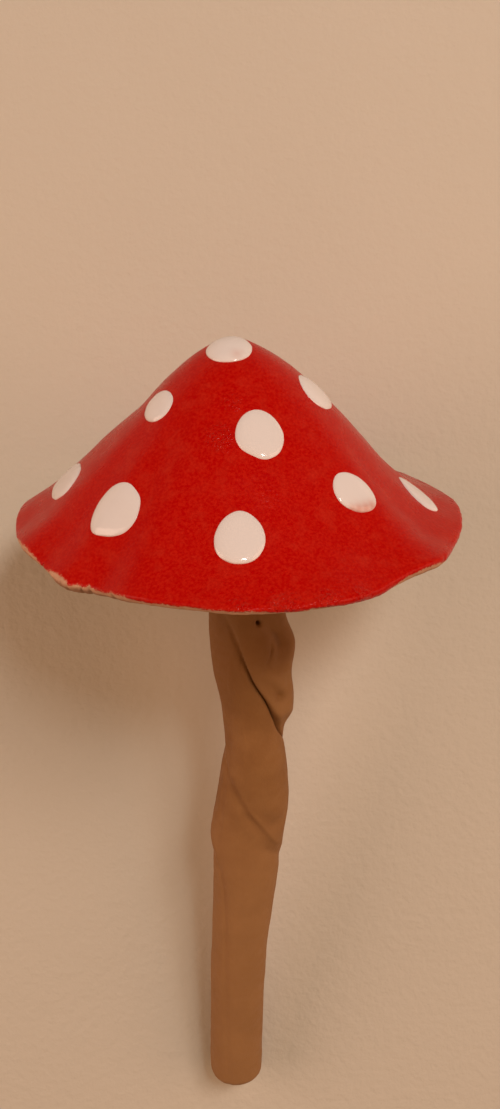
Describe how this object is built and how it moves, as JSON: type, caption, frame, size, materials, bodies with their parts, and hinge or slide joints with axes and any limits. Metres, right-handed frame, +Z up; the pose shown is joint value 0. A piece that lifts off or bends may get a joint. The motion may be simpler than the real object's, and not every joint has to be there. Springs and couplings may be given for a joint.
{
  "type": "ceramic fly agaric mushroom",
  "caption": "Hand-built ceramic toadstool with a hollow pointed cap in red glaze, raised white spots and a twisted bare clay stem, lying on its side.",
  "frame": {"origin": "centre of the bounding box at the surface it lies on", "axes": "+Y from the foot of the stem to the point of the cap, +X to the right seen from above with the cap at the top, +Z up"},
  "size_m": [0.1246, 0.239, 0.1192],
  "materials": {
    "red_glaze": "semi-gloss red glaze, finely mottled",
    "white_glaze": "gloss white glaze, raised",
    "bare_stem_clay": "matte fired brown clay",
    "bare_cap_clay": "matte fired tan clay"
  },
  "bodies": {
    "root": {"cap": "red_glaze", "stem": "bare_stem_clay", "joint_coil": "bare_cap_clay", "spot_top": "white_glaze", "spot_upper_1": "white_glaze", "spot_upper_2": "white_glaze", "spot_upper_3": "white_glaze", "spot_upper_4": "white_glaze", "spot_upper_5": "white_glaze", "spot_lower_1": "white_glaze", "spot_lower_2": "white_glaze", "spot_lower_3": "white_glaze", "spot_lower_4": "white_glaze", "spot_lower_5": "white_glaze", "spot_lower_6": "white_glaze", "spot_lower_7": "white_glaze", "spot_lower_8": "white_glaze"}
  },
  "joints": []
}
